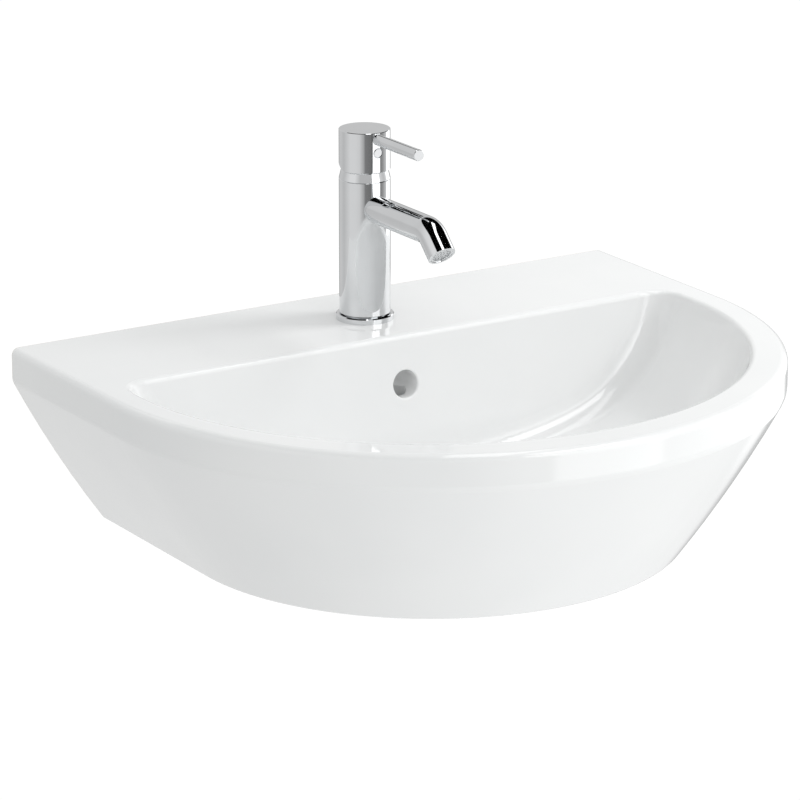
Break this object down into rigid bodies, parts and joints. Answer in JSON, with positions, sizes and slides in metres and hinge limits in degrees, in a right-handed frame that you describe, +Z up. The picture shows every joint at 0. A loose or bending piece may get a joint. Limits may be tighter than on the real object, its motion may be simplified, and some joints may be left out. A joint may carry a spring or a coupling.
{
  "type": "washbasin",
  "caption": "Wall-hung washbasin with a half-round front, tap deck and overflow, fitted with a single-lever mixer tap and a push-to-open slotted waste.",
  "frame": {"origin": "midpoint between the two wall-bolt holes, on the wall plane", "axes": "+Z up, +Y into the wall (the basin stands out along -Y), +X to the right of someone facing the basin"},
  "size_m": [0.6, 0.48, 0.3723],
  "materials": {
    "glaze": "gloss white glaze",
    "chrome": "mirror chrome plate",
    "rubber": "matt black rubber",
    "plastic": "moulded grey plastic",
    "disc_ceramic": "lapped alumina",
    "steel": "bright steel",
    "brass": "machined brass"
  },
  "bodies": {
    "basin": {"basin_ceramic": "glaze", "base_ring": "chrome", "tap_body": "chrome", "spout_tube": "chrome", "aerator_housing": "chrome", "cover_ring": "chrome", "waste_body": "chrome", "base_gasket": "rubber", "spout_seal": "rubber", "aerator_washer": "rubber", "cartridge_seals": "rubber", "horseshoe_washer": "rubber", "waste_top_seal": "rubber", "waste_bottom_seal": "rubber", "cartridge_base": "plastic", "cartridge_housing": "plastic", "aerator_insert": "plastic", "plug_barrel": "plastic", "fixed_disc": "disc_ceramic", "fixing_stud": "steel", "horseshoe_plate": "steel", "plug_spring": "steel", "cartridge_nut": "brass", "fixing_nut": "brass", "waste_backnut": "brass"},
    "swivel": {"cartridge_rotor": "plastic", "pivot_pin": "steel"},
    "lever": {"lever_stem": "brass", "lever_head": "chrome", "lever_pin": "chrome", "index_cap": "chrome", "grub_screw": "steel"},
    "disc": {"moving_disc": "disc_ceramic", "disc_carrier": "plastic"},
    "plug": {"plug_cap": "chrome", "plug_seal": "rubber", "plug_spindle": "steel"}
  },
  "joints": [
    {"name": "lever_swivel", "type": "hinge", "parent": "basin", "child": "swivel", "pos_m": [0, -0.077, 0.213], "axis": [0, 0, 1], "range_deg": [-45, 45]},
    {"name": "lever_lift", "type": "hinge", "parent": "swivel", "child": "lever", "pos_m": [0, -0.077, 0.213], "axis": [-1, 0, 0], "range_deg": [0, 22]},
    {"name": "disc_slide", "type": "slide", "parent": "swivel", "child": "disc", "axis": [0, -1, 0], "range_m": [0, 0.0024]},
    {"name": "plug_slide", "type": "slide", "parent": "basin", "child": "plug", "axis": [0, 0, 1], "range_m": [0, 0.009], "deforming": ["plug_spring"]}
  ],
  "couplings": [
    {"joint": "disc_slide", "follows": "lever_lift", "m_per_rad": 0.00606}
  ]
}
